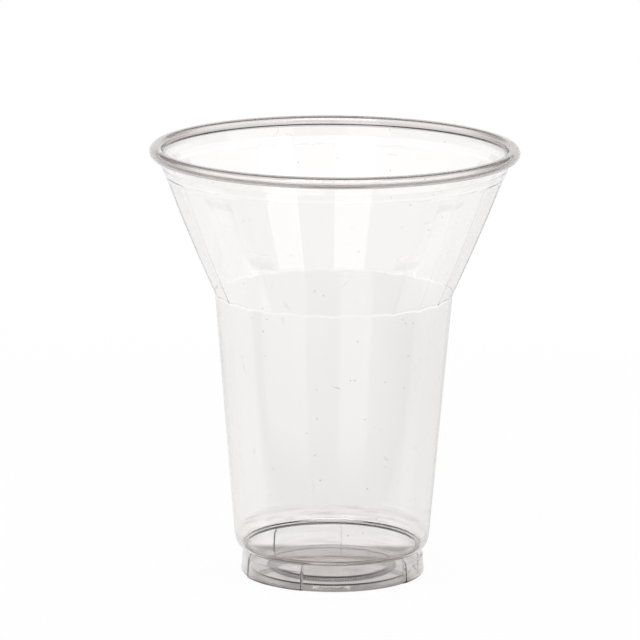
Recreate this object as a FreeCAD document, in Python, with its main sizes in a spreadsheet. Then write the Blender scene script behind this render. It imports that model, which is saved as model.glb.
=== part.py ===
import FreeCAD, Part
import math
import os

import Sketcher

# Clear plastic sundae cup, moulded from one sheet.
#
# The cup stands on its foot at z = 0, +Z up, with the origin at the centre of its base.
# From the base up it has a floor with a raised centre, a hollow foot with three
# stacking lugs, a tight neck under a rounded shoulder, a smooth tapering body, a flare
# of nearly flat panels and a rolled rim.
#
# The shell is an outside form less the cavity form inside it.  Both come from the same
# functions: the cavity's sections follow the outside ones at a sheet's thickness.  The
# rolled rim is a hook of the same sheet, turned round the mouth.  The sheet's small
# bends are drawn as short flats, within about a tenth of a millimetre of the round.

# alias, value (mm, degrees or a count), what it sets
SIZES = [
    ("cup_height", 115.5, "base to the top of the rolled rim"),
    ("rim_diameter", 98.0, "outside of the rolled rim, which lids clip over"),
    ("wall", 0.45, "thickness of the sheet"),
    ("roll_tall", 2.95, "height of the rolled rim"),
    ("roll_wide", 3.55, "width of the rolled rim, neck wall included"),
    ("lip_length", 0.9, "free edge of the roll, after its last bend"),
    ("neck_band", 2.2, "upright wall between the roll and the flare"),
    ("plain_band", 2.7, "smooth top of the flare, above the panels"),
    ("flare_arc", 410.0, "radius of the flare's gently bowed profile"),
    ("junction_height", 75.7, "where the flare meets the body"),
    ("junction_radius", 31.55, "outside radius there, over the panel ridges"),
    ("panel_count", 24, "panels round the flare"),
    ("panel_depth", 0.24, "depth of a panel at its middle"),
    ("panel_axis_shift", 40.0, "how far behind the cup's axis a panel is struck from"),
    ("overlap", 3.0, "how far flare and body run on inside each other"),
    ("body_foot_radius", 26.05, "outside radius of the body at the shoulder"),
    ("shoulder_wide", 2.0, "how far the rounded shoulder reaches in"),
    ("shoulder_tall", 4.2, "height of the rounded shoulder"),
    ("shoulder_bottom", 7.15, "lowest point of the shoulder"),
    ("neck_radius", 23.0, "tightest radius, under the shoulder"),
    ("neck_height", 7.75, "top of the neck's crease"),
    ("neck_bend", 0.25, "size of the flat at the bottom of the crease"),
    ("skirt_top_radius", 23.85, "outside radius at the top of the foot"),
    ("skirt_top_height", 5.7, "height of the foot's top edge"),
    ("foot_radius", 24.25, "outside radius of the foot at its widest"),
    ("foot_corner", 0.8, "size of the flat round the foot's bottom edge"),
    ("ring_width", 1.0, "flat ring that the cup stands on"),
    ("floor_height", 1.15, "underside of the floor above the table"),
    ("punt_radius", 16.3, "middle of the step up to the raised centre"),
    ("punt_rise", 0.9, "height of that step"),
    ("step_slope", 0.8, "how far a step in the floor runs out"),
    ("lug_count", 3, "stacking lugs round the foot"),
    ("lug_angle", 47.5, "width of a lug"),
    ("lug_rise", 0.5, "how far a lug stands out"),
    ("lug_bearing", -12.6, "bearing of the first lug from +X"),
]

# Sizes that follow from those in the sheet, as expressions.
RIM_RADIUS = "Sizes.rim_diameter / 2"
NECK_OUT = f"({RIM_RADIUS} - Sizes.roll_wide + Sizes.wall)"
NECK_FOOT = "(Sizes.cup_height - Sizes.roll_tall - Sizes.neck_band)"
PANEL_TOP = f"({NECK_FOOT} - Sizes.plain_band)"
PUNT_HEIGHT = "(Sizes.floor_height + Sizes.punt_rise)"
RING_OUT = "(Sizes.foot_radius - Sizes.foot_corner)"
RING_IN = f"({RING_OUT} - Sizes.ring_width)"
SHOULDER_TOP = "(Sizes.shoulder_bottom + Sizes.shoulder_tall)"
SHOULDER_IN = "(Sizes.body_foot_radius - Sizes.shoulder_wide)"
BODY_TAPER = (f"((Sizes.junction_radius - Sizes.body_foot_radius)"
              f" / (Sizes.junction_height - {SHOULDER_TOP}))")
BODY_TOP = "(Sizes.junction_height + Sizes.overlap)"
FLARE_ROOT = "(Sizes.junction_height - Sizes.overlap)"


def make_sheet(doc):
    """The spreadsheet that holds every driving size."""
    sheet = doc.addObject("Spreadsheet::Sheet", "Sizes")
    for row, (alias, value, note) in enumerate(SIZES, start=1):
        sheet.set(f"A{row}", alias)
        sheet.set(f"B{row}", str(value))
        sheet.set(f"C{row}", note)
        sheet.setAlias(f"B{row}", alias)
    doc.recompute()
    return sheet


def origin_feature(body, role):
    """The body's own plane or axis of that role, such as XZ_Plane."""
    return next(f for f in body.Origin.OriginFeatures if f.Role == role)


def upright_sketch(body, name, bearing="0"):
    """A sketch on the plane through the cup's axis at a bearing from +X: x out, y up."""
    sketch = body.newObject("Sketcher::SketchObject", name)
    sketch.AttachmentSupport = (origin_feature(body, "XZ_Plane"), [""])
    sketch.MapMode = "FlatFace"
    up = FreeCAD.Vector(0, 1, 0)
    sketch.AttachmentOffset = FreeCAD.Placement(FreeCAD.Vector(), FreeCAD.Rotation(up, 1))
    sketch.setExpression("AttachmentOffset.Rotation.Angle", bearing)
    return sketch


def constrain(sketch, kind, *where, size=None):
    """Add a constraint; a size is an expression that it stays bound to."""
    if size is None:
        sketch.addConstraint(Sketcher.Constraint(kind, *where))
        return
    value = float(sketch.evalExpression(size))
    index = sketch.addConstraint(Sketcher.Constraint(kind, *where, value))
    sketch.renameConstraint(index, f"{kind}_{index}")
    sketch.setExpression(f"Constraints.{kind}_{index}", size)


def pin(sketch, geometry, point, across, up):
    """Hold a point of the sketch at a distance across and up from its origin."""
    constrain(sketch, "DistanceX", -1, 1, geometry, point, size=across)
    constrain(sketch, "DistanceY", -1, 1, geometry, point, size=up)


def point_at(sketch, across, up):
    """The point that two expressions give."""
    return FreeCAD.Vector(float(sketch.evalExpression(across)),
                          float(sketch.evalExpression(up)), 0)


def draw_chain(sketch, points, construction=False):
    """Straight lines from point to point, joined end to end."""
    lines = [sketch.addGeometry(Part.LineSegment(a, b), construction)
             for a, b in zip(points, points[1:])]
    for before, after in zip(lines, lines[1:]):
        constrain(sketch, "Coincident", before, 2, after, 1)
    return lines


def pin_chain(sketch, lines, corners):
    """Hold each corner of a chain of lines where its expressions say."""
    for line, corner in zip(lines, corners):
        pin(sketch, line, 1, *corner)
    pin(sketch, lines[-1], 2, *corners[-1])


def draw_polygon(sketch, corners):
    """A closed section with every corner held where its expressions say."""
    points = [point_at(sketch, *corner) for corner in corners]
    lines = draw_chain(sketch, points + points[:1])
    constrain(sketch, "Coincident", lines[-1], 2, lines[0], 1)
    for line, corner in zip(lines, corners):
        pin(sketch, line, 1, *corner)


def inner_points(points, wall):
    """The mitred corners of a chain moved to its left by a wall, ends kept in line.

    The first stays straight above or below its own end, the last level with its own.
    """
    def left_of(a, b):
        along = (b - a).normalize()
        return along, FreeCAD.Vector(-along.y, along.x, 0)

    sides = [left_of(a, b) for a, b in zip(points, points[1:])]
    moved = []
    for (along, left), (after, after_left), corner in zip(sides, sides[1:], points[1:]):
        mitre = (left + after_left) * (wall / (1 + left.dot(after_left)))
        moved.append(corner + mitre)
    first, last = points[0], points[-1]
    start = FreeCAD.Vector(first.x, moved[0].y, 0)
    along = sides[-1][0]
    rise = (last.y - moved[-1].y) / along.y
    return [start] + moved + [moved[-1] + along * rise]


def draw_face(sketch, corners, form):
    """The sheet's outside face through its corners, or its cavity face inside that.

    Each side of the cavity face is parallel to the outside one, a wall away.
    """
    points = [point_at(sketch, *corner) for corner in corners]
    outside = draw_chain(sketch, points, construction=form == "cavity")
    pin_chain(sketch, outside, corners)
    if form == "outside":
        return outside
    wall = float(sketch.evalExpression("Sizes.wall"))
    cavity = draw_chain(sketch, inner_points(points, wall))
    for line, guide in zip(cavity, outside):
        constrain(sketch, "Parallel", line, guide)
        constrain(sketch, "Distance", line, 1, guide, size="Sizes.wall")
    constrain(sketch, "Vertical", cavity[0], 1, outside[0], 1)
    constrain(sketch, "Horizontal", cavity[-1], 2, outside[-1], 2)
    return cavity


def close_section(sketch, first, last, corners=()):
    """Join a face's last edge back to its first, by way of any corners given."""
    start = sketch.getPoint(first, 1)
    stop = sketch.getPoint(last, 2)
    path = [stop] + [point_at(sketch, *corner) for corner in corners] + [start]
    lines = draw_chain(sketch, path)
    constrain(sketch, "Coincident", last, 2, lines[0], 1)
    constrain(sketch, "Coincident", lines[-1], 2, first, 1)
    for line, corner in zip(lines[1:], corners):
        pin(sketch, line, 1, *corner)


def round_corners(across, up, wide, tall, bearings):
    """Corners between flats that touch an ellipse at evenly spaced bearings.

    The ellipse's centre is across and up from the origin, and wide and tall are its
    half widths.
    """
    half = (bearings[1] - bearings[0]) / 2
    middles = [bearing + half for bearing in bearings[:-1]]
    return [(f"{across} + {wide} / cos({half}) * cos({m})",
             f"{up} + {tall} / cos({half}) * sin({m})") for m in middles]


def draw_flare_arc(sketch, inset, foot, top):
    """The flare's bowed profile, moved in by an inset and cut off at two heights."""
    neck = point_at(sketch, f"{NECK_OUT} - {inset}", NECK_FOOT)
    joint = point_at(sketch, f"Sizes.junction_radius - {inset}", "Sizes.junction_height")
    radius = float(sketch.evalExpression("Sizes.flare_arc"))
    chord = neck - joint
    reach = math.sqrt(radius ** 2 - chord.Length ** 2 / 4)
    outward = FreeCAD.Vector(chord.y, -chord.x, 0).normalize()
    centre = (neck + joint) / 2 - outward * reach
    heights = [float(sketch.evalExpression(up)) for up in (foot, top)]
    start, stop = (math.asin((height - centre.y) / radius) for height in heights)
    circle = Part.Circle(centre, FreeCAD.Vector(0, 0, 1), radius)
    arc = sketch.addGeometry(Part.ArcOfCircle(circle, start, stop))
    for place, across, up in ((neck, NECK_OUT, NECK_FOOT),
                              (joint, "Sizes.junction_radius", "Sizes.junction_height")):
        mark = sketch.addGeometry(Part.Point(place), True)
        pin(sketch, mark, 1, f"{across} - {inset}", up)
        constrain(sketch, "PointOnObject", mark, 1, arc)
    constrain(sketch, "Radius", arc, size="Sizes.flare_arc")
    constrain(sketch, "DistanceY", -1, 1, arc, 1, size=foot)
    constrain(sketch, "DistanceY", -1, 1, arc, 2, size=top)
    return arc


def turn(body, kind, name, sketch, axis, angle):
    """A Revolution or Groove of a sketch, centred on the sketch's plane."""
    feature = body.newObject(f"PartDesign::{kind}", name)
    feature.Profile = (sketch, [""])
    feature.ReferenceAxis = (sketch, [axis])
    feature.Midplane = True
    feature.setExpression("Angle", angle)
    body.Tip = feature
    body.Document.recompute()
    return feature


def repeat_round(body, name, feature, count):
    """Repeat a feature evenly round the cup's axis."""
    pattern = body.newObject("PartDesign::PolarPattern", name)
    pattern.Originals = [feature]
    pattern.Axis = (origin_feature(body, "Z_Axis"), [""])
    pattern.Angle = 360
    pattern.setExpression("Occurrences", count)
    body.Tip = pattern
    body.Document.recompute()
    return pattern


def add_flare(body, form, inset):
    """The flare: a bowed cone whose round face is cut back by a ring of panels.

    Each panel is struck about an axis behind the cup's own, so it is nearly flat.
    Neighbouring panels meet in a ridge just under the cone.  The cavity's flare runs
    on up through the neck, so that it opens the mouth.
    """
    section = upright_sketch(body, f"{form}_flare_section")
    arc = draw_flare_arc(section, inset, FLARE_ROOT, NECK_FOOT)
    mouth = f"({NECK_FOOT} + Sizes.overlap)"
    over = [(f"{NECK_OUT} - {inset}", mouth), ("0", mouth)]
    level = [("0", NECK_FOOT)]
    top = level if form == "outside" else over
    close_section(section, arc, arc, top + [("0", FLARE_ROOT)])
    turn(body, "Revolution", f"{form}_flare", section, "V_Axis", "360")
    before = body.Shape.Volume

    cutter = upright_sketch(body, f"{form}_panel_section", "180 / Sizes.panel_count")
    draw_panel_cutter(cutter, f"({inset} + Sizes.panel_depth)")
    groove = turn(body, "Groove", f"{form}_panel", cutter, "Axis0", "360 / Sizes.panel_count")
    repeat_round(body, f"{form}_panels", groove, "Sizes.panel_count")
    removed = before - body.Shape.Volume
    if removed <= 0:
        raise RuntimeError("the panels cut nothing from the flare")
    print(f"{form}: panels take {removed:.1f} mm3 off the flare")


def draw_panel_cutter(sketch, inset):
    """What a panel takes off: everything outside the flare's arc, moved in.

    Its upper end slants up and out, so a panel fades into the plain band.  The
    construction line is the axis that the panel is struck about.
    """
    foot = f"({FLARE_ROOT} - Sizes.wall)"
    arc = draw_flare_arc(sketch, inset, foot, PANEL_TOP)
    clear = f"({NECK_OUT} + Sizes.overlap)"
    runout = f"({PANEL_TOP} + Sizes.overlap)"
    close_section(sketch, arc, arc, [(clear, runout), (clear, foot)])
    shift = "-Sizes.panel_axis_shift"
    ends = [(shift, "0"), (shift, "Sizes.overlap")]
    axis = draw_chain(sketch, [point_at(sketch, *end) for end in ends], construction=True)
    pin_chain(sketch, axis, ends)


def add_column(body, form):
    """Floor, foot, neck, shoulder and tapering body, turned from one section."""
    half_step = "Sizes.step_slope / 2"
    shoulder = round_corners(SHOULDER_IN, SHOULDER_TOP, "Sizes.shoulder_wide",
                             "Sizes.shoulder_tall", [-90, -60, -30, 0])
    corners = [
        ("0", PUNT_HEIGHT),
        (f"Sizes.punt_radius - {half_step}", PUNT_HEIGHT),
        (f"Sizes.punt_radius + {half_step}", "Sizes.floor_height"),
        (f"{RING_IN} - Sizes.step_slope", "Sizes.floor_height"),
        (RING_IN, "0"),
        (RING_OUT, "0"),
        ("Sizes.foot_radius", "Sizes.foot_corner"),
        ("Sizes.skirt_top_radius", "Sizes.skirt_top_height"),
        ("Sizes.neck_radius", "Sizes.neck_height - Sizes.neck_bend"),
        ("Sizes.neck_radius + Sizes.neck_bend", "Sizes.neck_height"),
        *shoulder,
        (f"Sizes.junction_radius + {BODY_TAPER} * Sizes.overlap", BODY_TOP),
    ]
    sketch = upright_sketch(body, f"{form}_column_section")
    face = draw_face(sketch, corners, form)
    close_section(sketch, face[0], face[-1], [("0", BODY_TOP)])
    turn(body, "Revolution", f"{form}_column", sketch, "V_Axis", "360")


def add_lugs(body, form, inset):
    """Sectors of the foot that stand out, so that nested cups come apart."""
    inside = "Sizes.neck_radius - 2 * Sizes.wall"
    corners = [
        (f"{RING_OUT} - Sizes.ring_width / 2", "0"),
        (f"{RING_OUT} + Sizes.lug_rise", "0"),
        ("Sizes.foot_radius + Sizes.lug_rise", "Sizes.foot_corner"),
        ("Sizes.skirt_top_radius + Sizes.lug_rise", "Sizes.skirt_top_height"),
        (inside, "Sizes.neck_height + Sizes.wall"),
    ]
    sketch = upright_sketch(body, f"{form}_lug_section", "Sizes.lug_bearing")
    face = draw_face(sketch, corners, form)
    close_section(sketch, face[0], face[-1])
    sides = f"2 * asin({inset} / Sizes.foot_radius)"
    lug = turn(body, "Revolution", f"{form}_lug", sketch, "V_Axis",
               f"Sizes.lug_angle * 1 deg - {sides}")
    repeat_round(body, f"{form}_lugs", lug, "Sizes.lug_count")


def make_form(doc, form):
    """The solid that fills the cup out to the sheet's outside or cavity face."""
    inset = "0" if form == "outside" else "Sizes.wall"
    body = doc.addObject("PartDesign::Body", f"{form}_form")
    add_flare(body, form, inset)
    add_column(body, form)
    add_lugs(body, form, inset)
    return body


def make_rim(doc):
    """Neck wall and rolled rim: a hook-shaped section of the sheet, turned once round."""
    body = doc.addObject("PartDesign::Body", "rolled_rim")
    neck_in = f"({NECK_OUT} - Sizes.wall)"
    radius = "(Sizes.roll_tall / 2)"
    hollow = f"({radius} - Sizes.wall)"
    up = f"(Sizes.cup_height - {radius})"
    near = f"({neck_in} + {radius})"
    far = f"({RIM_RADIUS} - {radius})"
    over = [180, 135, 90]
    round_and_under = [90, 45, 0, -45, -90, -135]
    last = round_and_under[-1]

    def face(size):
        """One face of the hook, from the neck's foot to the free edge."""
        edge_across = f"{far} + {size} * cos({last}) + Sizes.lip_length / 2 * sin({last})"
        edge_up = f"{up} + {size} * sin({last}) - Sizes.lip_length / 2 * cos({last})"
        return (round_corners(near, up, size, size, over)
                + round_corners(far, up, size, size, round_and_under)
                + [(edge_across, edge_up)])

    corners = [(neck_in, NECK_FOOT)] + face(radius) + face(hollow)[::-1] + [(NECK_OUT, NECK_FOOT)]
    sketch = upright_sketch(body, "rim_section")
    draw_polygon(sketch, corners)
    turn(body, "Revolution", "rim", sketch, "V_Axis", "360")
    return body


def make_cup(doc):
    """The cup: outside form less cavity, with the rolled rim grown on."""
    shell = doc.addObject("Part::Cut", "shell")
    shell.Base = make_form(doc, "outside")
    shell.Tool = make_form(doc, "cavity")
    cup = doc.addObject("Part::Fuse", "cup")
    cup.Base = shell
    cup.Tool = make_rim(doc)
    cup.Refine = True
    cup.Label = "cup"
    return cup


def check(doc, parts):
    """Stop at any object that failed, and at any part that isn't one sound solid."""
    for item in doc.Objects:
        if {"Invalid", "Error"} & set(item.State):
            raise RuntimeError(f"{item.Name} failed: {item.State}")
    for part in parts:
        if part.Shape.isNull() or not part.Shape.isValid():
            raise RuntimeError(f"{part.Label} has no sound shape")
        if len(part.Shape.Solids) != 1:
            raise RuntimeError(f"{part.Label} is {len(part.Shape.Solids)} solids, not one")


def main():
    """Build the cup and write its STEP file."""
    doc = FreeCAD.newDocument("sundae_cup")
    make_sheet(doc)
    parts = [make_cup(doc)]
    doc.recompute()
    check(doc, parts)
    os.makedirs("parts", exist_ok=True)
    for part in parts:
        part.Shape.exportStep(f"parts/{part.Label}.step")
        box = part.Shape.BoundBox
        print(f"{part.Label}: {part.Shape.Volume / 1000:.2f} cm3, "
              f"{box.XLength:.2f} x {box.YLength:.2f} x {box.ZLength:.2f} mm, "
              f"{len(part.Shape.Faces)} faces")


main()
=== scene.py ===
# %% [markdown]
# # A clear plastic sundae cup
#
# The real cup is one sheet of clear PET, a little under half a millimetre thick, that was
# heated and drawn into a mould.  A rolled rim stiffens its mouth.  Twenty-four nearly flat
# panels ring the flare.  Below them a smooth body tapers down to a rounded shoulder, over
# a hollow foot with three stacking lugs.
#
# This script dresses that cup.  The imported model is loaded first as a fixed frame: it
# gives the size and the place, and everything made here sits inside it.

import bpy
import numpy as np
from mathutils import Matrix, Vector


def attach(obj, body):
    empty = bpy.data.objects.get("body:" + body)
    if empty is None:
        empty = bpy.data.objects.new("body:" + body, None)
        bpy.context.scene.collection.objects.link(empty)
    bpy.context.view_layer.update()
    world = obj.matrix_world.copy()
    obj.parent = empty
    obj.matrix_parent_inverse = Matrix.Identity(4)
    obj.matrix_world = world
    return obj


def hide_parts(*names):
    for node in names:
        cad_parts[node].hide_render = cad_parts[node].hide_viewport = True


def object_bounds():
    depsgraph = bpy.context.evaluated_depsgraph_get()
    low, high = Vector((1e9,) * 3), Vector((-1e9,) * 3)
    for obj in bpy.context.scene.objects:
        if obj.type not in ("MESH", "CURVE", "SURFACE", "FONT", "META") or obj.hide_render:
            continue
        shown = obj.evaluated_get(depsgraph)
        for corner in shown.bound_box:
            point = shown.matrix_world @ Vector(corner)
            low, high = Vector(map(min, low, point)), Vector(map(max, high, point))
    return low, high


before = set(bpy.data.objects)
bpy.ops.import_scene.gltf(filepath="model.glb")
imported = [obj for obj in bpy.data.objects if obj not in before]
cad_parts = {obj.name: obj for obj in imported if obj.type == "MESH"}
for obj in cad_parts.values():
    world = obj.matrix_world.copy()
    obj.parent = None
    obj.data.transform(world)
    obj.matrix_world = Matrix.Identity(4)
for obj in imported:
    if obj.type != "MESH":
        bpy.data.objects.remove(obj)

cad_box = [list(corner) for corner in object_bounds()]
print("frame, lowest and highest corner in mm:",
      [[round(1000 * v, 2) for v in corner] for corner in cad_box])

# %% [markdown]
# ## The sheet's profile
#
# Cut the cup through its axis and the sheet shows as one thin line, from the middle of
# the floor out to the foot, up the body and the flare, and round the rolled rim.  Such a
# line could be drawn as a curve and spun.  Here it is worked out as arrays instead,
# because the panels and lugs have to push it in and out on the way round.  Sizes are in
# millimetres, and become metres when the mesh is made.
#
# The line is a chain of straight runs whose corners are rounded by arcs.  A drawn sheet
# has no sharp corner anywhere, and these small bends make most of the bright and dark
# lines that a clear cup shows.  Places on it are given as a radius and a height, (r, z).

# %% Sizes of the sheet, in millimetres
MM = 0.001
CUP_TOP = cad_box[1][2] / MM
RIM_OUT = cad_box[1][0] / MM
WALL = 0.45                                # thickness of the sheet
ROLL_TALL = 2.95                           # rolled rim, from top to bottom
NECK = (45.9, 110.35)                      # bend from the flare to the upright neck
NECK_TOP = 113.0
PANEL_TOP = 107.65                         # height at which the panels end
JUNCTION = (31.55, 75.7)                   # where the body meets the flare's ridges
FLARE_ARC = 410.0                          # radius of the ridges' gentle bow
BODY_FOOT = (26.03, 10.66)                 # lower end of the body's cone
SHOULDER_CENTRE = (24.06, 11.4)
SHOULDER_WIDE, SHOULDER_TALL = 2.0, 4.2    # half axes of the shoulder's ellipse
CREASE = (22.97, 7.55)
SKIRT_TOP = 5.3
RING_OUT = 24.27                           # ring that the cup stands on
STEP_IN, STEP_OUT = 16.15, 16.85           # step of the raised middle of the floor
FLOOR, PUNT = 1.15, 1.85                   # heights of the floor and of its middle
print("cup:", round(CUP_TOP, 2), "mm tall and", round(2 * RIM_OUT, 2), "mm across, wall", WALL)


# %% Runs with rounded corners
def rounded_run(corners, radii, step=14.0):
    """Points along straight runs with rounded corners, as an array of (r, z).

    At each inner corner the arc of the given radius touches both runs: it starts
    radius * tan(turn / 2) before the corner and ends as far after it, and is divided
    so that no piece turns by more than step degrees.
    """
    corners = np.array(corners, float)
    out = [corners[:1]]
    for before, corner, after, radius in zip(corners, corners[1:], corners[2:], radii):
        into = (corner - before) / np.linalg.norm(corner - before)
        away = (after - corner) / np.linalg.norm(after - corner)
        turn = np.arctan2(into[0] * away[1] - into[1] * away[0], into @ away)
        reach = radius * np.tan(abs(turn) / 2)
        side = np.array([-into[1], into[0]]) * np.sign(turn)
        centre = corner - into * reach + side * radius
        count = max(2, int(np.ceil(np.degrees(abs(turn)) / step)) + 1)
        swing = np.linspace(0, turn, count)
        spoke = -side * radius
        out.append(centre + np.stack([spoke[0] * np.cos(swing) - spoke[1] * np.sin(swing),
                                      spoke[0] * np.sin(swing) + spoke[1] * np.cos(swing)], 1))
    out.append(corners[-1:])
    return np.concatenate(out)


def keep_flat(points, margin=0.22):
    """The same line with a point added a margin in from each end of its long runs.

    Shading blends the normals from row to row, so without these rows a long straight
    run would be shaded as if it were bowed, and would bend light like a lens.
    """
    step = np.diff(points, axis=0)
    length = np.linalg.norm(step, axis=1)
    long_runs = np.flatnonzero(length > 4 * margin)
    inset = step[long_runs] / length[long_runs, None] * margin
    extra = np.stack([points[long_runs] + inset, points[long_runs + 1] - inset], 1)
    return np.insert(points, np.repeat(long_runs + 1, 2), extra.reshape(-1, 2), axis=0)


def ellipse_arc(centre, wide, tall, start, stop, count):
    """Points on an ellipse from one bearing to another, in degrees, as (r, z)."""
    bearing = np.radians(np.linspace(start, stop, count))
    return np.stack([centre[0] + wide * np.cos(bearing), centre[1] + tall * np.sin(bearing)], 1)


print("a right angle rounded by 1 mm:",
      len(rounded_run([(0, 0), (5, 0), (5, 5)], [1.0])), "points")

# %% [markdown]
# ## The hollow foot
#
# The cup stands on a narrow ring.  Inside the ring the floor is raised twice by a small
# step, so that a full cup doesn't rock.  Outside it the skirt rises, leans in to a sharp
# crease, and the shoulder bulges out over the crease.  Stacked cups rest there.
#
# It could be modelled face by face and bevelled.  A list of corners, each with the radius
# of its bend, is shorter and is how a mould is drawn, so one number changes one bend.  The
# corners are in the order in which the sheet runs, from the middle outwards.  The shoulder
# is part of an upright ellipse.

# %% Floor, foot and shoulder
SHOULDER_START, SHOULDER_STOP = -75, -10.1
shoulder = ellipse_arc(SHOULDER_CENTRE, SHOULDER_WIDE, SHOULDER_TALL,
                       SHOULDER_START, SHOULDER_STOP, 12)
foot_corners = [
    (15.2, PUNT), (STEP_IN, PUNT),          # raised middle
    (STEP_OUT, FLOOR), (21.6, FLOOR),       # its step, and the floor round it
    (22.45, 0.0), (RING_OUT, 0.0),          # ring that the cup stands on
    (23.90, SKIRT_TOP), (23.38, 7.2),       # skirt
    CREASE, (23.10, 7.85),                  # crease under the shoulder
    (23.95, 6.99), tuple(shoulder[0])]      # overhang
foot_bends = [0.35, 0.5, 0.4, 0.5, 0.85, 0.6, 0.2, 0.12, 0.12, 0.6]
foot = keep_flat(rounded_run(foot_corners, foot_bends))
floor_rows = np.array([(0.0, PUNT), (5.0, PUNT), (10.0, PUNT)])
print("foot:", len(foot), "rows, shoulder:", len(shoulder), "rows")

# %% [markdown]
# ## Flare and body
#
# The flare's ridges follow a gently bowed line, an arc of a large circle.  The body below
# is a plain cone.  Where the two meet, the outside of the sheet is whichever of them is
# larger, with the corner softened: that gives the scalloped line round the real cup,
# because each panel starts a little inside its ridges.
#
# The two lines could also be joined by a list of points, but then the scallops would have
# to be drawn by hand.  This way they come out of the two shapes by themselves.

# %% Lines of the flare and the body
def flare_line(z):
    """Radius of the ridges at height z: an arc of radius FLARE_ARC through both ends."""
    low, high = np.array(JUNCTION), np.array(NECK)
    chord = high - low
    length = np.linalg.norm(chord)
    outward = np.array([chord[1], -chord[0]]) / length
    centre = (low + high) / 2 - outward * np.sqrt(FLARE_ARC ** 2 - length ** 2 / 4)
    return centre[0] + np.sqrt(FLARE_ARC ** 2 - (z - centre[1]) ** 2)


def body_line(z):
    """Radius of the body's cone at height z: a straight line from its foot to the junction."""
    slope = (JUNCTION[0] - BODY_FOOT[0]) / (JUNCTION[1] - BODY_FOOT[1])
    return BODY_FOOT[0] + slope * (z - BODY_FOOT[1])


def soft_max(a, b, soft):
    """The larger of a and b, rounded where they cross: (a + b + root((a-b)^2 + soft^2)) / 2."""
    return (a + b + np.sqrt((a - b) ** 2 + soft ** 2)) / 2


print("flare leans out by", round(float(flare_line(NECK[1]) - flare_line(JUNCTION[1])), 2), "mm")

# %% [markdown]
# ## Where the rows go
#
# The rows could be spaced evenly, but the finest bend would then need thousands of them.
# Long plain stretches need few rows.  So they are packed closely only where the sheet
# turns: at the junction, where the panels end, and in the rolled rim.  The roll is a
# quarter circle that starts from the neck, and a longer arc that comes down outside and
# ends with its free edge tucked in underneath.

# %% Rows of the wall
low_body = np.array([11.0, 11.8, 12.8, 14.0])
body_z = np.array([18.0, 23, 29, 36, 44, 52, 59, 65, 69.5, 72.5])
junction_steps = np.array([0.08, 0.15, 0.22, 0.3, 0.4, 0.55, 0.9, 1.6])
junction_z = JUNCTION[1] + np.concatenate([-junction_steps[::-1], [0], junction_steps])
flare_z = np.array([79.0, 82, 85.5, 89, 92.5, 96, 99.5, 102.5, 105])
panel_end_z = PANEL_TOP + np.array([-1.5, -1.0, -0.65, -0.4, -0.2, -0.05, 0.08, 0.2, 0.32,
                                    0.44, 0.57, 0.75, 1.0, 1.4])
wall_z = np.concatenate([body_z, junction_z, flare_z, panel_end_z])
wall_rows = np.stack([soft_max(flare_line(wall_z), body_line(wall_z), 0.10), wall_z], 1)
print("wall:", len(low_body) + len(wall_z), "rows")

# %% Rows of the neck and the roll, and the whole profile
BEND_START = 109.2
NECK_BEND = 1.1
bend = keep_flat(rounded_run([(flare_line(BEND_START), BEND_START), NECK, (NECK[0], NECK_TOP)],
                             [NECK_BEND], step=6))
roll_z = CUP_TOP - ROLL_TALL / 2
roll_radius = ROLL_TALL / 2 - WALL
roll_near = (NECK[0] - WALL + ROLL_TALL / 2, roll_z)
roll_far = (RIM_OUT - ROLL_TALL / 2, roll_z)
roll = np.concatenate([ellipse_arc(roll_near, roll_radius, roll_radius, 180, 90, 8),
                       ellipse_arc(roll_far, roll_radius, roll_radius, 90, -138, 20)])
low_rows = np.stack([body_line(low_body), low_body], 1)
profile = np.concatenate([floor_rows, foot, shoulder[1:], low_rows, wall_rows, bend, roll])
print("profile:", len(profile), "rows, widest", round(profile[:, 0].max() + WALL, 3), "mm")

# %% [markdown]
# ## Once round the cup
#
# The profile is carried round the axis.  Two things change on the way.  On the flare the
# ridges stay on the profile, and the panel between two ridges lies a fraction of a
# millimetre inside it.  On the foot three wide lugs stand out, so that stacked cups
# don't wedge.  One panel or lug could be modelled and repeated with an Array modifier, but
# its seams would have to be merged.  Here both are a push on each point, in or out from
# the axis, as a function of its bearing and its place along the profile.
#
# The columns are packed closely at the ridges and at the sides of the lugs, and lie wide
# apart on the panels between.

# %% Bearings of the columns
PANELS = 24
PANEL_WIDE = 360 / PANELS
IN_PANEL = np.array([0, 0.35, 0.9, 2.0, 4.5, 7.5, 10.5, 13.0, 14.1, 14.65])
LUGS = np.array([-12.6, 107.4, 227.4])     # bearing of each lug's middle
LUG_HALF = 23.75                           # half a lug's width, in degrees
LUG_SIDE = 0.8                             # half the width of its sides, in degrees
LUG_RISE = 0.5                             # how far it stands out, in millimetres
lug_edges = (LUGS[:, None] + [-LUG_HALF, LUG_HALF]).ravel()
bearings = np.unique(np.round(np.concatenate([
    (np.arange(PANELS)[:, None] * PANEL_WIDE + IN_PANEL).ravel(),
    ((lug_edges[:, None] + np.linspace(-1.5, 1.5, 7) * LUG_SIDE).ravel()) % 360]), 3))
print(len(bearings), "columns")


# %% Helpers for soft changes
def smooth_step(t):
    """0 below 0, 1 above 1, and 3 t^2 - 2 t^3 between."""
    t = np.clip(t, 0, 1)
    return t * t * (3 - 2 * t)


def bell(z, middle, wide):
    """A bell curve, 1 at the middle: e^-((z - middle) / wide)^2."""
    return np.exp(-((z - middle) / wide) ** 2)


print("a bell falls to", round(float(bell(1.0, 0.0, 1.0)), 3), "at its width")

# %% The push of panels and lugs
DEPTH_LOW, DEPTH_HIGH = 0.16, 0.19         # of a panel, at the junction and at its top
RIDGE_SOFT = 0.05                          # rounding of a ridge, as a share of half a panel
TOP_ROUND, TOP_FADE = 1.4, 0.9             # the panel's top: its rounding, and its fade
LUG_FROM, LUG_GROWS, LUG_FADES = 22.95, 1.2, 2.2


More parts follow.
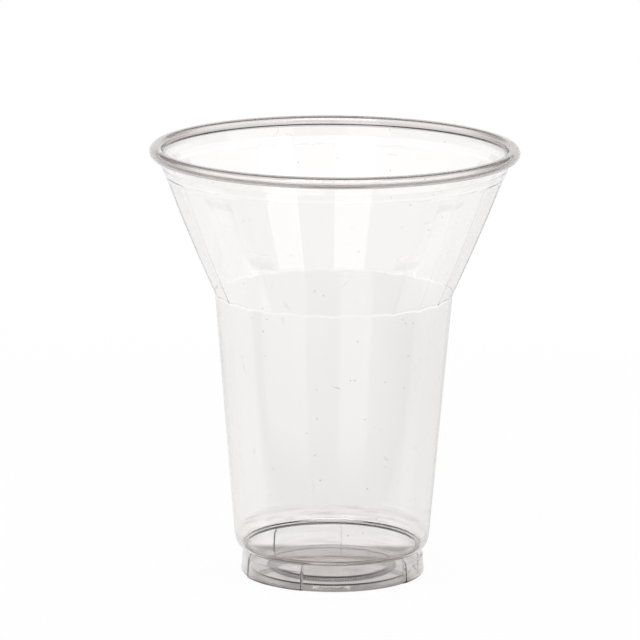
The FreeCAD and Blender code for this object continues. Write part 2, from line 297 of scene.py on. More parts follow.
def panel_depth(bearing, z):
    """How far a panel lies inside its ridges, in millimetres.

    With a running from 0 on a ridge to 1 mid-panel the depth follows 2a - a^2, the ridge
    softened by replacing a with root(a^2 + w^2) - w and stretching that back to 0 and 1.
    It fades out over just under a millimetre at the panel's top, which is rounded off
    towards the ridges.
    """
    soft = RIDGE_SOFT
    a = 1 - np.abs((2 * bearing / PANEL_WIDE) % 2 - 1)
    a = (np.sqrt(a ** 2 + soft ** 2) - soft) / (np.sqrt(1 + soft ** 2) - soft)
    top = PANEL_TOP - TOP_ROUND * (1 - a) ** 6
    fade_out = 1 - smooth_step((z - top) / TOP_FADE)
    up = (z - JUNCTION[1]) / (PANEL_TOP - JUNCTION[1])
    return (DEPTH_LOW + (DEPTH_HIGH - DEPTH_LOW) * up) * a * (2 - a) * fade_out


def lug_push(bearing, r, z):
    """How far a lug stands out: full between its sides and up the skirt, none in the crease.

    It grows with the radius over the ring, and fades with the height above the skirt.
    """
    off = np.abs((bearing[:, None] - LUGS + 180) % 360 - 180).min(axis=1)
    wide = smooth_step((LUG_HALF + LUG_SIDE - off) / (2 * LUG_SIDE))
    tall = smooth_step((r - LUG_FROM) / LUG_GROWS) * (1 - smooth_step((z - SKIRT_TOP) / LUG_FADES))
    return LUG_RISE * wide * tall


print("panel depth mid-flare:", round(float(panel_depth(np.array(7.5), 92.0)), 3), "mm")


# %% Points of the outside face
WALL_LOW, WALL_HIGH = 13.5, 109.3          # heights between which the wall's formula holds
SPREAD = 0.36                              # how fast the flare leaves the body, mm per mm
LIFT_WIDE = 1.2
JUNCTION_SOFT = 0.07


def outside_face(profile, bearings, foot_rows):
    """Points (row, column, xyz) in mm, from the profile pushed in and out at each bearing.

    On the wall the radius is the larger of flare minus panel and body, and the rows near
    the junction rise with the panel's depth, so that they follow the scallops.  The rows
    below the crease, foot_rows, get the push of the lugs.
    """
    r0, z0 = profile[:, 0][:, None], profile[:, 1][:, None]
    on_wall = (z0 > WALL_LOW) & (z0 < WALL_HIGH)
    lift = panel_depth(bearings[None, :], z0) / SPREAD * bell(z0, JUNCTION[1], LIFT_WIDE)
    z = z0 + np.where(on_wall, lift, 0)
    wall = soft_max(flare_line(z) - panel_depth(bearings[None, :], z), body_line(z),
                    JUNCTION_SOFT)
    r = np.where(on_wall, wall, r0) + np.where(foot_rows[:, None], lug_push(bearings, r0, z0), 0)
    turn = np.radians(bearings)[None, :]
    return np.stack([r * np.cos(turn), r * np.sin(turn), z], 2)


below_crease = np.arange(len(profile)) < len(floor_rows) + np.argmax(foot[:, 1] > CREASE[1])
outside = outside_face(profile, bearings, below_crease)
print("outside face:", outside.shape[0], "rows by", outside.shape[1], "columns")

# %% [markdown]
# ## Give the sheet its thickness
#
# A Solidify modifier would thicken a surface, but it works face by face.  The points
# are in order here, so the way inward is found from the surface itself: the cross
# product of the steps to the next column and the next row.  The inside face is the
# outside one moved a wall's thickness that way.
#
# Two thin beads, less than a tenth of a millimetre, stand on the outside: one along the
# scalloped line and one where the panels end.  A mould may leave them where its parts
# meet.  Along the scalloped line and at the foot of the neck a fine bright line is painted
# in: a painted highlight, which whitens the tone and glows faintly.  Where it lies is kept
# on the mesh as an attribute, because a mask in the material would have to work out the
# scallops all over again.
#
# The two faces are joined round the roll's free edge by a small half round, and the mesh
# is closed at both poles.

# %% Inside face, beads and free edge
def outward(points):
    """Unit normals: the step to the next column crossed with the step to the next row."""
    across = np.roll(points, -1, axis=1) - np.roll(points, 1, axis=1)
    along = np.gradient(points, axis=0)
    normal = np.cross(across, along)
    normal[0] = (0, 0, -1)
    return normal / np.linalg.norm(normal, axis=2, keepdims=True)


def line_round(height, size, wide):
    """A line round the cup, one value a row: size times a bell of that width at a height."""
    return size * bell(profile[:, 1], height, wide)


bead = (line_round(JUNCTION[1], size=0.07, wide=0.20)
        + line_round(PANEL_TOP + 0.2, size=0.04, wide=0.18))
normals = outward(outside)
inside = outside - WALL * normals
outside = outside + bead[:, None, None] * normals
past_edge = outside[-1:] - outside[-2:-1]
past_edge = past_edge / np.linalg.norm(past_edge, axis=2, keepdims=True)
swing = np.radians([45, 90, 135])[:, None, None]
edge = (outside[-1:] + inside[-1:]) / 2 + WALL / 2 * (
    np.cos(swing) * normals[-1:] + np.sin(swing) * past_edge)
print("thickest bead:", round(float(bead.max()), 3), "mm")


# %% Mesh of the cup
def closed_mesh(name, grid):
    """A mesh from rings of points: quads between rings, and a fan to a pole at each end."""
    rings, around = grid.shape[0] - 2, grid.shape[1]
    verts = np.concatenate([grid[:1, 0], grid[1:-1].reshape(-1, 3), grid[-1:, 0]])
    i = np.arange(rings - 1)[:, None] * around + 1
    j = np.arange(around)[None, :]
    k = (j + 1) % around
    quads = np.stack([i + j, i + k, i + around + k, i + around + j], 2).reshape(-1, 4)
    last = len(verts) - 1
    top = (rings - 1) * around + 1
    start_fan = np.stack([0 * j[0], 1 + k[0], 1 + j[0]], 1)
    end_fan = np.stack([last + 0 * j[0], top + j[0], top + k[0]], 1)
    mesh = bpy.data.meshes.new(name)
    mesh.from_pydata((verts * MM).tolist(), [], quads.tolist() + start_fan.tolist()
                     + end_fan.tolist())
    mesh.polygons.foreach_set("use_smooth", np.ones(len(mesh.polygons), bool))
    mesh.update()
    return mesh


cup_mesh = closed_mesh("cup_sheet", np.concatenate([outside, edge, inside[::-1]]))
cup = bpy.data.objects.new("cup_sheet", cup_mesh)
bpy.context.scene.collection.objects.link(cup)
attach(cup, "root")
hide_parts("cup")
triangles = sum(len(polygon.vertices) - 2 for polygon in cup_mesh.polygons)
print("cup:", len(cup_mesh.polygons), "faces,", triangles, "triangles")

# %% Where the painted highlight lines lie
# Two painted highlight lines, along the scalloped line and at the foot of the neck.
highlight_lines = (line_round(JUNCTION[1], size=1.0, wide=0.24)
         + line_round(PANEL_TOP + 1.0, size=0.6, wide=0.30))
highlight_ring = np.concatenate([highlight_lines, np.zeros(len(swing)), highlight_lines[::-1]])
highlight_per_point = np.concatenate([highlight_ring[:1],      # one value at each pole, one a column between
                          np.repeat(highlight_ring[1:-1], len(bearings)), highlight_ring[-1:]])
cup_mesh.attributes.new("painted_highlight", "FLOAT", "POINT").data.foreach_set("value", highlight_per_point)
print("scuffed:", int((highlight_lines > 0.1).sum()), "of", len(highlight_lines), "rows on each face")

# %% [markdown]
# ## Clear PET
#
# Clear PET has next to no colour of its own.  It is seen by what it bends and mirrors, by
# a grey cast where the sheet is thick or seen edge on, and by small flaws.  One flat colour
# with full transmission would look like a drawing of a cup.  So the material is a glass-like
# Principled shader, and every flaw is a node group: a point goes in, and a mask or a height
# that changes over the surface comes out.  A group can be used again in another material,
# with its own strength.
#
# The helpers below each add a node or two and give back an output, so that the recipes that
# follow can be read from top to bottom.

# %% Helpers for nodes
def new_material(name):
    """A material with an empty node tree, and that tree."""
    material = bpy.data.materials.new(name)
    material.use_nodes = True
    material.node_tree.nodes.clear()
    return material, material.node_tree


def calc(tree, operation, *values):
    """A Math node; each value is a number or a socket."""
    node = tree.nodes.new("ShaderNodeMath")
    node.operation = operation
    for socket, value in zip(node.inputs, values):
        if isinstance(value, (int, float)):
            socket.default_value = value
        else:
            tree.links.new(value, socket)
    return node.outputs[0]


def product(tree, first, *others):
    """All the values multiplied together."""
    for other in others:
        first = calc(tree, "MULTIPLY", first, other)
    return first


def fade(tree, source, start, stop):
    """0 at start, 1 at stop, with a smooth change between; start may be the larger."""
    node = tree.nodes.new("ShaderNodeMapRange")
    node.interpolation_type = "SMOOTHSTEP"
    node.inputs["From Min"].default_value = start
    node.inputs["From Max"].default_value = stop
    tree.links.new(source, node.inputs["Value"])
    return node.outputs["Result"]


def fade_mm(tree, source, start, stop):
    """The same fade, with its two ends given in millimetres."""
    return fade(tree, source, start * MM, stop * MM)


def mixed(tree, factor, a, b):
    """A colour between a and b; each is a socket or a colour."""
    node = tree.nodes.new("ShaderNodeMix")
    node.data_type = "RGBA"
    tree.links.new(factor, node.inputs["Factor"])
    for label, value in (("A", a), ("B", b)):
        if isinstance(value, tuple):
            node.inputs[label].default_value = (*value, 1)
        else:
            tree.links.new(value, node.inputs[label])
    return node.outputs["Result"]


def ramp(tree, source, stops, way="EASE"):
    """A Color Ramp over a source, from stops of (position, grey or colour)."""
    node = tree.nodes.new("ShaderNodeValToRGB")
    node.color_ramp.interpolation = way
    while len(node.color_ramp.elements) < len(stops):
        node.color_ramp.elements.new(0.5)
    for element, (position, value) in zip(node.color_ramp.elements, stops):
        element.position = position
        element.color = (*value, 1) if isinstance(value, tuple) else (value, value, value, 1)
    tree.links.new(source, node.inputs[0])
    return node.outputs[0]


def around_axis(tree, point):
    """The x, y and z of a point, and its distance from the cup's axis, root(x^2 + y^2)."""
    axes = tree.nodes.new("ShaderNodeSeparateXYZ")
    tree.links.new(point, axes.inputs[0])
    x, y, z = (axes.outputs[k] for k in "XYZ")
    squares = calc(tree, "ADD", product(tree, x, x), product(tree, y, y))
    return x, y, z, calc(tree, "SQRT", squares)


def noise(tree, point, scale, stretch=(1, 1, 1), detail=2.0):
    """A Noise Texture of a point, squeezed along its axes by stretch."""
    squeezed = tree.nodes.new("ShaderNodeVectorMath")
    squeezed.operation = "MULTIPLY"
    squeezed.inputs[1].default_value = stretch
    tree.links.new(point, squeezed.inputs[0])
    wave = tree.nodes.new("ShaderNodeTexNoise")
    wave.inputs["Scale"].default_value = scale
    wave.inputs["Detail"].default_value = detail
    tree.links.new(squeezed.outputs[0], wave.inputs["Vector"])
    return wave.outputs


def flaw_group(name, *outputs):
    """An empty node group from a Point to the named outputs: its tree, point and end."""
    tree = bpy.data.node_groups.new(name, "ShaderNodeTree")
    tree.interface.new_socket("Point", in_out="INPUT", socket_type="NodeSocketVector")
    for label in outputs:
        tree.interface.new_socket(label, in_out="OUTPUT", socket_type="NodeSocketFloat")
    given, made = tree.nodes.new("NodeGroupInput"), tree.nodes.new("NodeGroupOutput")
    return tree, given.outputs["Point"], made.inputs


print("helpers are ready")

# %% [markdown]
# ### Knurling
#
# The step of the raised floor carries a ring of fine teeth, pressed in by the mould so that
# the cup doesn't slide while it is filled.  Cutting 144 teeth into the mesh would cost more
# faces than the rest of the cup.  They are a sine of the bearing instead, kept to the step
# by fades in radius and height.  It gives both a mask for the tone and a height for the bump.

# %% Knurling round the step of the floor
TEETH = 144.0
TOOTH_DEEP = 0.08
knurl, point, made = flaw_group("knurl", "Mask", "Height")
x, y, z, radius = around_axis(knurl, point)
teeth = calc(knurl, "SINE", product(knurl, calc(knurl, "ARCTAN2", y, x), TEETH))
on_step = product(knurl, fade_mm(knurl, radius, STEP_IN - 0.65, STEP_IN - 0.15),
                  fade_mm(knurl, radius, STEP_OUT + 0.55, STEP_OUT - 0.05),
                  fade_mm(knurl, z, 3.1, 2.8))
knurl.links.new(product(knurl, fade(knurl, teeth, -0.3, 0.3), on_step), made["Mask"])
knurl.links.new(product(knurl, teeth, on_step, TOOTH_DEEP * MM), made["Height"])
print("knurl:", int(TEETH), "teeth,", len(knurl.nodes), "nodes")

# %% [markdown]
# ### Ripples
#
# Drawing a hot sheet leaves it faintly uneven, in long low waves that run with the draw.
# They are far too shallow to feel, about a hundredth of a millimetre, but they make the
# mirrored lights waver.  Waves in the mesh would need many more rows and columns, so a
# noise that is stretched upright gives the height for the bump.

# %% Ripples left by the drawing
RIPPLE_DEEP = 0.02
ripple, point, made = flaw_group("ripple", "Height")
wave = noise(ripple, point, 110, stretch=(1, 1, 0.12), detail=1.5)
ripple.links.new(product(ripple, wave[0], RIPPLE_DEEP * MM), made["Height"])
print("ripple:", len(ripple.nodes), "nodes")

# %% [markdown]
# ### Dust
#
# Plastic holds a charge and draws dust: dark specks a fraction of a millimetre wide, and a
# few short hairs.  Particles would be heavy, and would have to be part of the piece.  The
# specks are the middles of Voronoi cells, and the hairs are short lengths of cell borders,
# bent by a noise and kept only where a second noise is high.

# %% Dust: specks and a few fine hairs
SPECKS_A_METRE, BORDERS_A_METRE = 190, 70  # cells to a metre, for the specks and the hairs
HAIR_BEND = 0.012                          # how far the noise moves a border, in metres
HAIR_SHARE = 0.45                          # a hair shows less than a speck
dust, point, made = flaw_group("dust", "Mask")
cells = dust.nodes.new("ShaderNodeTexVoronoi")
cells.inputs["Scale"].default_value = SPECKS_A_METRE
dust.links.new(point, cells.inputs["Vector"])
specks = fade(dust, cells.outputs["Distance"], 0.052, 0.024)
bent = dust.nodes.new("ShaderNodeVectorMath")
bent.operation = "MULTIPLY_ADD"
bent.inputs[1].default_value = (HAIR_BEND, HAIR_BEND, HAIR_BEND)
dust.links.new(noise(dust, point, 90)[1], bent.inputs[0])
dust.links.new(point, bent.inputs[2])
borders = dust.nodes.new("ShaderNodeTexVoronoi")
borders.feature = "DISTANCE_TO_EDGE"
borders.inputs["Scale"].default_value = BORDERS_A_METRE
dust.links.new(bent.outputs[0], borders.inputs["Vector"])
hairs = product(dust, fade(dust, borders.outputs["Distance"], 0.0055, 0.002),
                fade(dust, noise(dust, point, 130)[0], 0.66, 0.70), HAIR_SHARE)
dust.links.new(calc(dust, "MAXIMUM", specks, hairs), made["Mask"])
print("dust:", len(dust.nodes), "nodes")

# %% [markdown]
# ### Sides of the lugs
#
# Where a lug's side meets the skirt the sheet is pulled thin and lumpy, so the line isn't
# clean.  A noise could roughen it, but the lumps have about one size.  So the mask is a
# thin band at the lug's two sides, up to the crease, and a sine up the band gives the
# lumps.  Wrapping the bearing at 60 degrees folds the three lugs into one.

# %% Marks down the sides of the lugs
LUMPS_TURN = 4200.0                        # radians to a metre of height
LUMP_DEEP = 0.06
lug_marks, point, made = flaw_group("lug_marks", "Mask", "Height")
x, y, z, radius = around_axis(lug_marks, point)
bearing = calc(lug_marks, "DEGREES", calc(lug_marks, "ARCTAN2", y, x))
from_lug = calc(lug_marks, "ABSOLUTE", calc(
    lug_marks, "WRAP", calc(lug_marks, "SUBTRACT", bearing, float(LUGS[0])), 60.0, -60.0))
from_side = calc(lug_marks, "ABSOLUTE", calc(lug_marks, "SUBTRACT", from_lug, LUG_HALF))
side_band = product(lug_marks, fade(lug_marks, from_side, 0.85, 0.2),
                    fade_mm(lug_marks, z, 7.8, 7.0), fade_mm(lug_marks, radius, 22.2, 22.8))
lug_marks.links.new(side_band, made["Mask"])
lumps = calc(lug_marks, "SINE", product(lug_marks, z, LUMPS_TURN))
lug_marks.links.new(product(lug_marks, lumps, side_band, LUMP_DEEP * MM), made["Height"])
print("lug marks:", len(lug_marks.nodes), "nodes")

# %% [markdown]
# ### Haze round the foot
#
# The foot touches the tool first and chills first, which leaves flat cloudy streaks in it.
# They could be painted on by hand, but it doesn't matter where each one lies.  So they are
# a noise squeezed upright, nine times finer up the cup than round it.

# %% Streaks of haze
streaks, point, made = flaw_group("streaks", "Mask")
wave = noise(streaks, point, 130, stretch=(1, 1, 9), detail=3.0)
streaks.links.new(fade(streaks, wave[0], 0.44, 0.68), made["Mask"])
print("streaks:", len(streaks.nodes), "nodes")

# %% [markdown]
# ### Tone of the sheet
#
# A sheet seen edge on looks darker than one seen face on, because the light goes a longer
# way through it.  A Volume Absorption shader would work that out, but only if the wall's
# thickness were true everywhere, and here it is even.  Instead Layer Weight's Facing gives
# the slant, and a colour ramp turns it into a tone.  The wall is thin and stays nearly
# plain.  The rim, where the sheet is rolled up in layers, and the foot, where it stays
# thick, fall off to grey: partly the sheet's own cast, and partly painted shade for the
# dark surroundings seen through them and mirrored in them.  Fades in height say which of
# the three tones a place takes.

# %% Tones of the thin wall, the rim and the foot, the last two partly painted shade
clear, tree = new_material("clear_plastic")
# The attribute that marks the two painted highlight lines.
painted_highlight = tree.nodes.new("ShaderNodeAttribute")
painted_highlight.attribute_name = "painted_highlight"
place = tree.nodes.new("ShaderNodeTexCoord")
point = place.outputs["Object"]
_, _, height, radius = around_axis(tree, point)
slant = tree.nodes.new("ShaderNodeLayerWeight")
slant.inputs["Blend"].default_value = 0.5
facing = slant.outputs["Facing"]
CLEAR = (0.975, 0.962, 0.960)
# Painted shade under the rolled rim: its lower outside is darkened toward grey.
UNDER_ROLL_SHADE_SHARE, UNDER_ROLL_SHADE = 0.6, (0.60, 0.57, 0.55)
thin = ramp(tree, facing, [(0.0, CLEAR), (0.3, CLEAR), (1.0, (0.93, 0.91, 0.90))], "LINEAR")
# The rim's grey: partly the rolled sheet's own cast, partly painted shade.
thick_and_shaded = ramp(tree, facing,
             [(0.0, CLEAR), (0.28, (0.96, 0.945, 0.94)), (0.42, (0.80, 0.77, 0.755)),
              (0.60, (0.58, 0.55, 0.53)), (0.76, (0.47, 0.44, 0.42)),
              (1.0, (0.37, 0.34, 0.32))], "LINEAR")
# The foot's grey: partly the thick sheet's own cast, partly painted shade.
foot_tone_and_shade = ramp(tree, facing,
                 [(0.0, (0.96, 0.945, 0.938)), (0.28, (0.95, 0.933, 0.925)),
                  (0.42, (0.91, 0.888, 0.876)), (0.60, (0.81, 0.782, 0.765)),
                  (0.76, (0.74, 0.71, 0.69)), (1.0, (0.67, 0.64, 0.62))], "LINEAR")
tone = mixed(tree, fade_mm(tree, height, NECK_TOP - 1.5, NECK_TOP), thin, thick_and_shaded)
# Painted shade under the roll.
under_roll_shade = product(tree, fade_mm(tree, height, 114.4, 113.8),
                     fade_mm(tree, radius, 46.3, 46.8), UNDER_ROLL_SHADE_SHARE)
tone = mixed(tree, under_roll_shade, tone, UNDER_ROLL_SHADE)
print("tones: wall, rim and foot")

# %% [markdown]
# The foot's tone, partly painted shade, has a full share in the shoulder, a quarter in the
# skirt and three quarters in the ring that the cup stands on.  Then each flaw's mask mixes
# in its own grey, and the painted highlight lines lose half of their tone, so that they show
# lighter.  A map painted on the cup could hold all of this in one image, but each flaw would
# then be fixed in place and strength.

# %% Tone of the foot, partly painted shade, and the flaws
SKIRT_LESS, RING_MORE = 0.75, 0.5          # changes of the foot's share
# The last share whitens the painted highlight lines.
STREAKS, KNURL, LUG_MARKS, DUST, HIGHLIGHT_SHARE = 0.25, 0.7, 0.15, 0.75, 0.5
in_shoulder = fade_mm(tree, height, 12.5, 10.5)
in_skirt = fade_mm(tree, height, 7.8, 6.8)
in_ring = product(tree, fade_mm(tree, height, 2.8, 1.8), fade_mm(tree, radius, 20.5, 21.5))
foot_share = calc(tree, "ADD", product(tree, in_ring, RING_MORE),
                  calc(tree, "SUBTRACT", in_shoulder, product(tree, in_skirt, SKIRT_LESS)))
tone = mixed(tree, foot_share, tone, foot_tone_and_shade)
flaws = {}
for made in (knurl, ripple, dust, lug_marks, streaks):
    node = tree.nodes.new("ShaderNodeGroup")
    node.node_tree = made
    tree.links.new(point, node.inputs["Point"])
    flaws[made.name] = node.outputs
for share, grey in (
        (product(tree, foot_share, flaws["streaks"]["Mask"], STREAKS), (0.46, 0.42, 0.39)),
        (product(tree, flaws["knurl"]["Mask"], KNURL), (0.30, 0.27, 0.25)),
        (product(tree, flaws["lug_marks"]["Mask"], LUG_MARKS), (0.42, 0.38, 0.36)),
        (product(tree, flaws["dust"]["Mask"], DUST), (0.24, 0.21, 0.19))):
    tone = mixed(tree, share, tone, grey)
# The two painted highlight lines are whitened: a painted highlight.
NO_TONE = (1.0, 1.0, 1.0)
tone = mixed(tree, product(tree, painted_highlight.outputs["Fac"], HIGHLIGHT_SHARE), tone, NO_TONE)
print("flaws:", ", ".join(flaws), "and scuff")

# %% [markdown]
# ### The shader
#
# Transmission at 1 with PET's index of refraction, 1.57, makes the sheet bend and mirror
# light like the real one, and a trace of roughness takes the glassy edge off.  The heights
# go through one Bump node in metres.  The two painted highlight lines glow with a faint
# emission, under a twentieth of white: a painted highlight, lit by no lamp.
#
# A glass shader would cast a solid dark shadow, since light can't find its way through two
# curved faces by chance.  So rays that only ask for shadow meet a nearly clear Transparent
# shader instead.

# %% The clear plastic
sheet = tree.nodes.new("ShaderNodeBsdfPrincipled")
sheet.inputs["Roughness"].default_value = 0.02
sheet.inputs["IOR"].default_value = 1.57
sheet.inputs["Transmission Weight"].default_value = 1.0
tree.links.new(tone, sheet.inputs["Base Color"])
# A faint glow on the two lines: a painted highlight, lit by no lamp.
NO_GLOW, HIGHLIGHT_GLOW = (0.0, 0.0, 0.0), (1.0, 0.93, 0.92)
highlight_glow = mixed(tree, painted_highlight.outputs["Fac"], NO_GLOW, HIGHLIGHT_GLOW)
tree.links.new(highlight_glow, sheet.inputs["Emission Color"])
sheet.inputs["Emission Strength"].default_value = 0.035
bump = tree.nodes.new("ShaderNodeBump")
bump.inputs["Strength"].default_value = 1.0
bump.inputs["Distance"].default_value = 1.0
relief = calc(tree, "ADD", flaws["knurl"]["Height"], flaws["ripple"]["Height"])
tree.links.new(calc(tree, "ADD", relief, flaws["lug_marks"]["Height"]), bump.inputs["Height"])
tree.links.new(bump.outputs["Normal"], sheet.inputs["Normal"])
shadow = tree.nodes.new("ShaderNodeBsdfTransparent")
shadow.inputs["Color"].default_value = (0.93, 0.93, 0.93, 1)
path = tree.nodes.new("ShaderNodeLightPath")
either = tree.nodes.new("ShaderNodeMixShader")
tree.links.new(path.outputs["Is Shadow Ray"], either.inputs[0])
tree.links.new(sheet.outputs[0], either.inputs[1])
tree.links.new(shadow.outputs[0], either.inputs[2])
out = tree.nodes.new("ShaderNodeOutputMaterial")
tree.links.new(either.outputs[0], out.inputs["Surface"])
cup_mesh.materials.append(clear)
print("clear plastic:", len(tree.nodes), "nodes")

# %% [markdown]
# ## A studio for a clear object
#
# A clear object hardly shows itself: it shows what stands round it, bent and mirrored.  So
# the studio is planned as carefully as the cup.  It has a white paper floor in a room that
# is white behind the cup, with a dim ceiling, a large softbox overhead and upright ones in
# front on both sides.
#
# Brighter lamps could make the paper white, but they would wash out the cup as well.  So
# the paper glows at a strength of one for the rays that look at it.  Rays that only carry
# light see a plain pale floor and a plain grey room.

# %% Which rays look at the background
def looking_rays(tree):
    """1 for camera, glossy and transmission rays, 0 for the rays that only carry light."""
    path = tree.nodes.new("ShaderNodeLightPath")
    mirrored_or_bent = calc(tree, "MAXIMUM", path.outputs["Is Glossy Ray"],
                            path.outputs["Is Transmission Ray"])
    return calc(tree, "MAXIMUM", path.outputs["Is Camera Ray"], mirrored_or_bent)


def tone_along(tree, source, stops):
    """A tone that follows stops of (place, tone) along a source, from the first to the last."""
    first, last = stops[0][0], stops[-1][0]
    share = tree.nodes.new("ShaderNodeMapRange")
    share.inputs["From Min"].default_value = first
    share.inputs["From Max"].default_value = last
    tree.links.new(source, share.inputs["Value"])
    return ramp(tree, share.outputs["Result"],
                [((where - first) / (last - first), tone) for where, tone in stops])


print("two helpers for the studio")

# %% [markdown]
# ### Paper floor
#
# The floor is a wide disc just under the cup.  A real studio has cards, flags, shadows and
# pools of light lying on such a floor.  Each could be an object of its own, but the camera
# would see it.  So what the cup shows of them is painted on the paper by place, as painted
# shade, painted shadow and painted light, in tones that the camera itself never sees.
#
# Straight through the wall one sees the paper behind the cup, with painted shade close by
# and on the right.  Under the foot lies a painted shadow, which gives the clear foot its
# grey.  The walls mirror the paper in front, which carries painted shade there, and two
# painted pools of light on it give the wide pale bands down the body.  Glossy Depth says
# that a ray has been mirrored, so nothing of the front shows straight through the cup from
# another side.

# %% Disc of the floor, in metres
FLOOR_REACH, FLOOR_SIDES, FLOOR_GAP = 8, 96, 0.00005
floor_mesh = bpy.data.meshes.new("floor")
ring = np.radians(np.linspace(0, 360, FLOOR_SIDES + 1)[:-1])
floor_points = np.stack([FLOOR_REACH * np.cos(ring), FLOOR_REACH * np.sin(ring),
                         np.full(FLOOR_SIDES, -FLOOR_GAP)], 1)
floor_mesh.from_pydata(floor_points.tolist(), [], [list(range(FLOOR_SIDES))])
floor = bpy.data.objects.new("floor", floor_mesh)
bpy.context.scene.collection.objects.link(floor)
print("floor: a disc", 2 * FLOOR_REACH, "m across")

# %% The paper: painted shade behind and in front, and two painted pools of light
NEAR_FRONT_SHADE, FAR_FRONT_SHADE, POOL_LIGHT = (0.45, 0.45, 0.45), (0.60, 0.60, 0.60), (1.1, 1.1, 1.1)
paper, tree = new_material("white_paper")
place = tree.nodes.new("ShaderNodeTexCoord")
x, y, _, away = around_axis(tree, place.outputs["Object"])
path = tree.nodes.new("ShaderNodeLightPath")
mirrored = calc(tree, "MINIMUM", path.outputs["Glossy Depth"], 1.0)
# Painted shade on the paper behind the cup, darker close by.
behind_cup = tone_along(tree, y, [(-0.1, 0.96), (-0.03, 0.96), (0.029, 0.99), (0.05, 0.95),
                                  (0.09, 0.945), (0.2, 0.98), (0.4, 1.0)])
# Painted shade on the paper just in front, seen only in mirrors.
near_front = product(tree, mirrored, fade(tree, y, -0.02, -0.04))
tone = mixed(tree, near_front, behind_cup, NEAR_FRONT_SHADE)
# The bearing of a place from the front, in degrees, bounds the two painted pools of light.
side = calc(tree, "DEGREES", calc(tree, "ARCTAN2", x, product(tree, y, -1.0)))
light_pools = calc(tree, "MAXIMUM",
             product(tree, fade(tree, side, 27.0, 30.0), fade(tree, side, 82.0, 76.0)),
             product(tree, fade(tree, side, -5.0, -8.0), fade(tree, side, -42.0, -38.0)))
# Painted shade on the far front, with the two painted pools of light.
far_front = product(tree, mirrored, fade(tree, y, 0.35, 0.0), fade(tree, away, 0.12, 0.45))
tone = mixed(tree, far_front, tone, mixed(tree, light_pools, FAR_FRONT_SHADE, POOL_LIGHT))
print("paper: behind, near front, far front and two pools")

# %% Painted shade on the paper's right side, and a painted shadow under the foot
RIGHT_SHADE_SHARE, RIGHT_SHADE = 0.18, (0.6, 0.6, 0.6)
UNDER_FOOT_SHADOW = (0.40, 0.39, 0.385)
SHADOW_HALF, SHADOW_SOFT = 0.023, 0.004        # half its width, and the softness of its sides
# Painted shade on the right side of the paper.
right_shade = product(tree, fade(tree, x, 0.010, 0.030), fade(tree, y, 0.42, 0.30), RIGHT_SHADE_SHARE)
tone = mixed(tree, right_shade, tone, RIGHT_SHADE)
# A painted shadow under the foot, about as wide as the foot.
under_foot_shadow = product(tree, fade(tree, calc(tree, "ABSOLUTE", x), SHADOW_HALF + SHADOW_SOFT,
                          SHADOW_HALF - SHADOW_SOFT),
               fade(tree, y, -0.045, -0.028), fade(tree, y, 0.029, 0.024))
tone = mixed(tree, under_foot_shadow, tone, UNDER_FOOT_SHADOW)
print("card: about", round(2 * SHADOW_HALF / MM), "mm wide")

# %% Paper that glows for looking rays, and is lit for the others
NEAR_GLOW = 0.92                           # near the cup the rest is real light and shadow
seen = mixed(tree, path.outputs["Is Camera Ray"], tone, (1.0, 1.0, 1.0))
glow = tree.nodes.new("ShaderNodeEmission")
tree.links.new(seen, glow.inputs["Color"])
lit = tree.nodes.new("ShaderNodeBsdfDiffuse")
lit.inputs["Color"].default_value = (0.92, 0.92, 0.92, 1)
near_share = tone_along(tree, away, [(0.0, NEAR_GLOW), (0.12, NEAR_GLOW), (0.4, 1.0)])
either = tree.nodes.new("ShaderNodeMixShader")
tree.links.new(product(tree, looking_rays(tree), near_share), either.inputs[0])
tree.links.new(lit.outputs[0], either.inputs[1])
tree.links.new(glow.outputs[0], either.inputs[2])
out = tree.nodes.new("ShaderNodeOutputMaterial")
tree.links.new(either.outputs[0], out.inputs["Surface"])
floor_mesh.materials.append(paper)
print("near the cup", round(100 * (1 - NEAR_GLOW)),
      "percent of the paper's look is real light, for the soft shadow")

# %% [markdown]
# ### Backdrop, room and ceiling
#
# The world stands for everything further off.  Walls and a ceiling could be built, but they
# would need light of their own, and the cup only needs their tones.  Behind the cup the
# room is white up to about 13 degrees, then the dim ceiling starts.  In front stands the
# dark side of the room, with a bright wall above it that the flare mirrors.  Each is a ramp
# over the sine of a direction's elevation, and the three are joined round the room.  The
# dark ceiling is what draws the dark lines in the rim.

# %% World
DIM = (0.16, 0.135, 0.125)
CEILING = (0.10, 0.085, 0.08)
CEILING_EDGE = (0.20, 0.17, 0.16)
DARK_SIDE = (0.33, 0.31, 0.30)
BRIGHT_WALL = 1.3
world = bpy.data.worlds.new("studio")
bpy.context.scene.world = world
world.use_nodes = True
tree = world.node_tree
tree.nodes.clear()
way = tree.nodes.new("ShaderNodeTexCoord")
_, y, z, _ = around_axis(tree, way.outputs["Generated"])
in_front = ramp(tree, z, [(0.0, 1.0), (0.05, 0.95), (0.12, DARK_SIDE), (0.34, DARK_SIDE),
                          (0.44, BRIGHT_WALL), (0.62, BRIGHT_WALL), (0.75, DIM),
                          (1.0, CEILING)])
beside = ramp(tree, z, [(0.0, 1.0), (0.3, 1.1), (0.44, BRIGHT_WALL), (0.62, BRIGHT_WALL),
                        (0.75, DIM), (1.0, CEILING)])
behind = ramp(tree, z, [(0.0, 1.0), (0.22, 1.0), (0.38, CEILING_EDGE), (1.0, CEILING)])
round_the_room = mixed(tree, fade(tree, y, -0.85, -0.55), in_front, beside)
round_the_room = mixed(tree, fade(tree, y, 0.25, 0.65), round_the_room, behind)
looked_at = tree.nodes.new("ShaderNodeBackground")
tree.links.new(round_the_room, looked_at.inputs["Color"])
room_light = tree.nodes.new("ShaderNodeBackground")
room_light.inputs["Color"].default_value = (0.70, 0.70, 0.70, 1)
either = tree.nodes.new("ShaderNodeMixShader")
tree.links.new(looking_rays(tree), either.inputs[0])
tree.links.new(room_light.outputs[0], either.inputs[1])
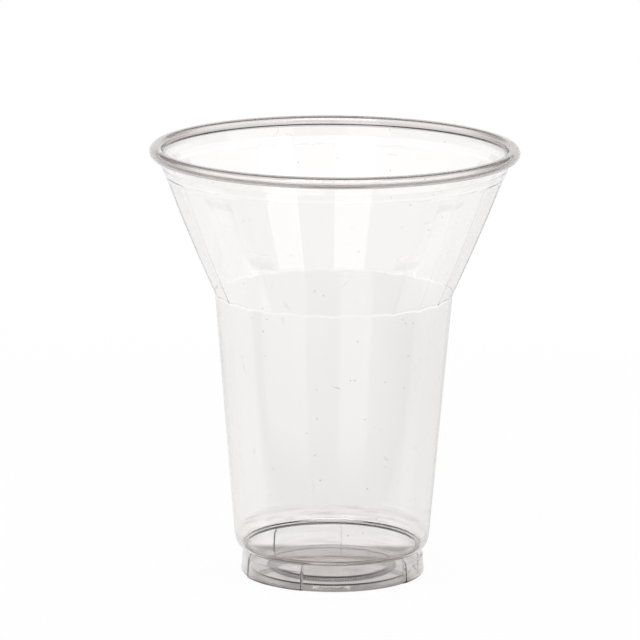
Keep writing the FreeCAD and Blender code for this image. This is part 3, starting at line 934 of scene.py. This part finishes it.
tree.links.new(looked_at.outputs[0], either.inputs[2])
out = tree.nodes.new("ShaderNodeOutputWorld")
tree.links.new(either.outputs[0], out.inputs["Surface"])
print("world:", len(tree.nodes), "nodes")

# %% [markdown]
# ### Softboxes
#
# The upright softboxes are mirrored in the flare as two pale bands with straight sides.  On
# the right a wide box has a narrower, brighter one over it, as where a lamp stands close
# behind the cloth.  The overhead box lights the top of the rim.  They are area lamps,
# because a glowing sheet of mesh would need many more samples for the same soft light.

# %% Lamps
LAMP_AIM = Vector((0, 0, 0.06))


def softbox(name, azimuth, elevation, distance, width, height, radiance):
    """An area lamp aimed at the cup; its power is radiance * area * pi.

    The azimuth runs from the front towards the right, in degrees.
    """
    a, e = np.radians(azimuth), np.radians(elevation)
    away = Vector((np.sin(a) * np.cos(e), -np.cos(a) * np.cos(e), np.sin(e)))
    lamp = bpy.data.lights.new(name, "AREA")
    lamp.shape = "RECTANGLE"
    lamp.size, lamp.size_y = width, height
    lamp.energy = radiance * width * height * np.pi
    holder = bpy.data.objects.new(name, lamp)
    holder.location = LAMP_AIM + away * distance
    holder.rotation_euler = away.to_track_quat("Z", "Y").to_euler()
    bpy.context.scene.collection.objects.link(holder)
    print(name, "at", [round(v, 2) for v in holder.location], "m")


softbox("right_softbox", 44.5, 36, 1.5, 0.38, 0.8, 0.85)
softbox("right_inner_softbox", 35, 36, 1.5, 0.14, 0.8, 1.4)
softbox("left_softbox", -16, 36, 1.5, 0.6, 0.8, 0.85)
softbox("overhead_softbox", 0, 66, 1.3, 0.9, 0.4, 4.5)

# %% [markdown]
# ## Camera
#
# The cup is seen from a little above, with a long lens from well back, as small tableware
# usually is.  The camera could be placed by hand, but its direction is easier to trust when
# it is built up: tilt down, a slight roll, and a small swing of the aim so that the cup
# sits where it should in the frame.

# %% Camera
TILT = np.radians(12.33)
ROLL = np.radians(0.451)
DISTANCE = 1.4007                          # metres from the middle of the cup
AIM_HEIGHT = 0.057
AIM_RIGHT, AIM_DOWN = 0.00251, 0.00802     # swing of the aim, metres at one metre
SENSOR, LENS = 36.0, 296.06                # millimetres
camera_data = bpy.data.cameras.new("camera")
camera_data.sensor_width = SENSOR
camera_data.lens = LENS
camera_data.clip_start, camera_data.clip_end = 0.05, 50
camera = bpy.data.objects.new("camera", camera_data)
bpy.context.scene.collection.objects.link(camera)
bpy.context.scene.camera = camera
back = Vector((0, -np.cos(TILT), np.sin(TILT)))
right = Vector((1, 0, 0))
level = Matrix((right, back.cross(right), back)).transposed()
aim = Vector((AIM_RIGHT, -AIM_DOWN, -1)).normalized()
swing = aim.rotation_difference(Vector((0, 0, -1))).to_matrix()
turn = level @ Matrix.Rotation(ROLL, 3, "Z") @ swing
camera.matrix_world = (Matrix.Translation(Vector((0, 0, AIM_HEIGHT)) + back * DISTANCE)
                       @ turn.to_4x4())
print("camera at", [round(v, 3) for v in camera.matrix_world.translation], "m")

# %% [markdown]
# ## Colour management
#
# Standard shows a colour as it is written, so a strength of one is white on the page.

# %% Colour management
bpy.context.scene.view_settings.view_transform = "Standard"
